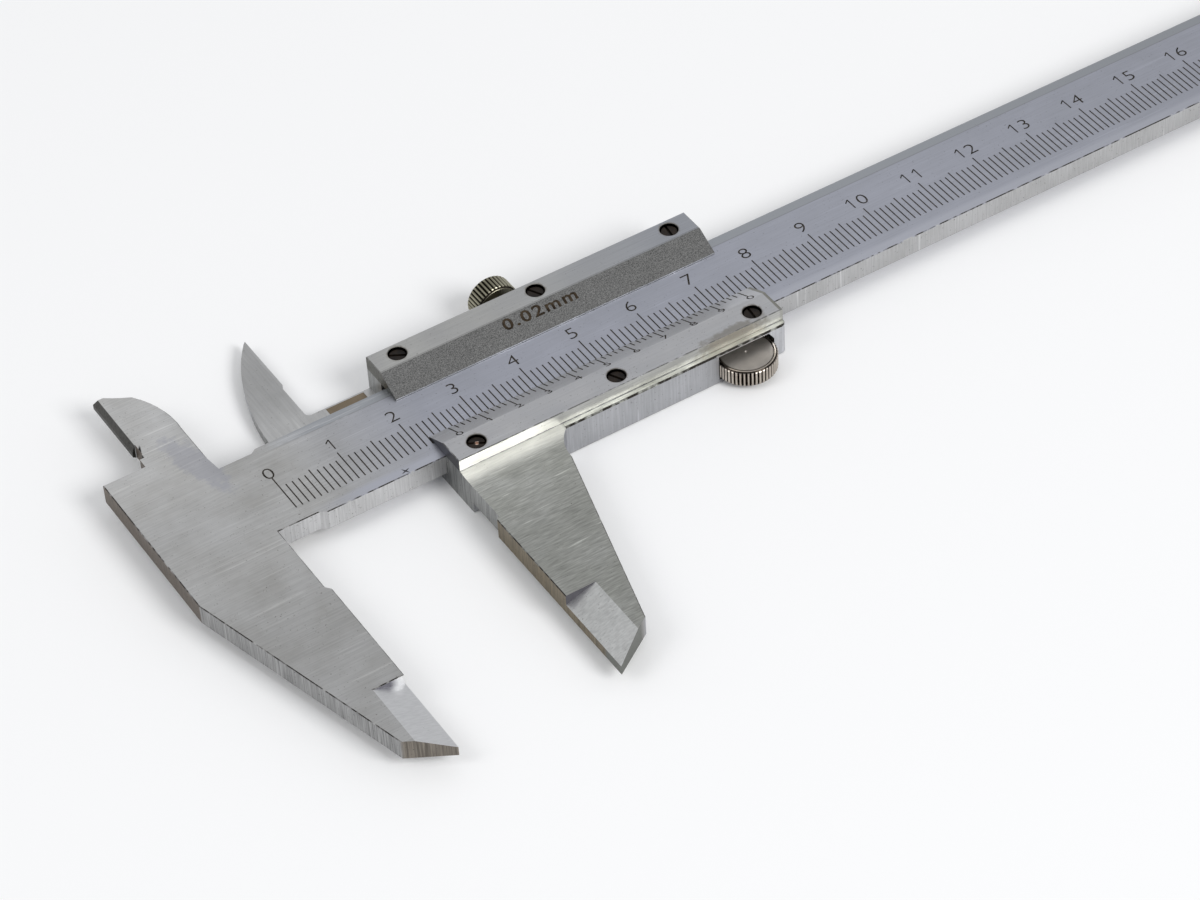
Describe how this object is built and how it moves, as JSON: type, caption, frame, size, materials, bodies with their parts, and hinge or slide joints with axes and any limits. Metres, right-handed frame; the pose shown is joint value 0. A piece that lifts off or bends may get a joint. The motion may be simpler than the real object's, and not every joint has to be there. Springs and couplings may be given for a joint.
{
  "type": "vernier caliper",
  "caption": "Steel vernier caliper with outer and inner jaws, a sliding vernier scale, a knurled lock screw, a thumb roller and a depth rod.",
  "frame": {"origin": "middle of the fixed outer jaw's measuring face", "axes": "+X along the beam towards its far end, square to the measuring face; +Y across the beam towards the inner jaws; +Z out of the front, scale side, which is up when the caliper lies on its back"},
  "size_m": [0.2533, 0.087, 0.0078],
  "materials": {
    "beam_steel": "satin ground steel with dark graduations",
    "slider_steel": "brushed steel, finely scratched along the beam",
    "cover_steel": "satin steel with sandblasted bevels",
    "plain_steel": "ground steel",
    "gib_bronze": "dull bronze",
    "knurled_nickel": "worn nickel over straight knurling",
    "black_screw": "blackened steel"
  },
  "bodies": {
    "beam": {"beam": "beam_steel", "end_stop": "plain_steel", "end_stop_screw_1": "black_screw", "end_stop_screw_2": "black_screw"},
    "slider": {"slider_body": "slider_steel", "upper_cover": "cover_steel", "vernier_plate": "cover_steel", "cover_screw_1": "black_screw", "cover_screw_2": "black_screw", "cover_screw_3": "black_screw", "vernier_screw_1": "black_screw", "vernier_screw_2": "black_screw", "vernier_screw_3": "black_screw", "gib_strip": "gib_bronze", "gib_screw_1": "black_screw", "gib_screw_2": "black_screw", "depth_rod": "plain_steel", "depth_rod_pin_1": "plain_steel", "depth_rod_pin_2": "plain_steel", "roller_axle": "plain_steel"},
    "lock_screw": {"lock_screw": "knurled_nickel"},
    "thumb_roller": {"thumb_roller": "knurled_nickel"}
  },
  "joints": [
    {"name": "slider_travel", "type": "slide", "parent": "beam", "child": "slider", "axis": [1, 0, 0], "range_m": [-0.02515, 0.1248]},
    {"name": "lock_turn", "type": "hinge", "parent": "slider", "child": "lock_screw", "pos_m": [0.04905, 0.049, -0.00005], "axis": [0, 1, 0], "range_deg": [-360, 360]},
    {"name": "roller_turn", "type": "hinge", "parent": "slider", "child": "thumb_roller", "pos_m": [0.07315, 0.02032, -0.0016], "axis": [0, 0, 1], "range_deg": [-318.3, 1559.5]}
  ],
  "couplings": [
    {"joint": "roller_turn", "follows": "slider_travel", "rad_per_m": 217.39}
  ]
}
